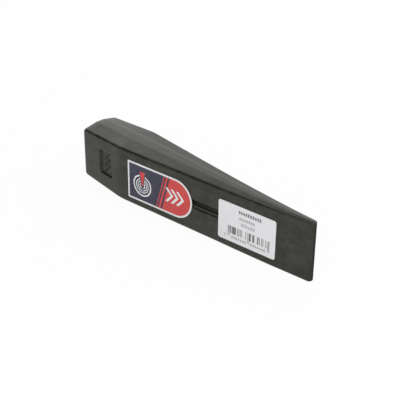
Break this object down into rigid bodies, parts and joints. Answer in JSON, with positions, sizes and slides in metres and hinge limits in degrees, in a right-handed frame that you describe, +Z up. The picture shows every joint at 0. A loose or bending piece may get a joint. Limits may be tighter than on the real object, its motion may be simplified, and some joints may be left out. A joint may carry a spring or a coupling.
{
  "type": "splitting wedge",
  "caption": "Drop-forged steel splitting wedge with a flat struck poll, a thick shoulder, tapering cheeks and a blunt bit, with paper labels stuck on one cheek.",
  "frame": {"origin": "middle of the underside of the wedge's box, with the wedge lying on its lower narrow side", "axes": "+X along the wedge from the poll, the struck end, to the bit; +Y through its thickness, with the labelled cheek at -Y; +Z up, across its width"},
  "size_m": [0.23, 0.0386, 0.0502],
  "materials": {
    "blackened_steel": "satin",
    "printed_paper": "satin",
    "white_paper": "satin"
  },
  "bodies": {
    "root": {"wedge_body": "blackened_steel", "round_end_label": "printed_paper", "barcode_label": "white_paper"}
  },
  "joints": []
}
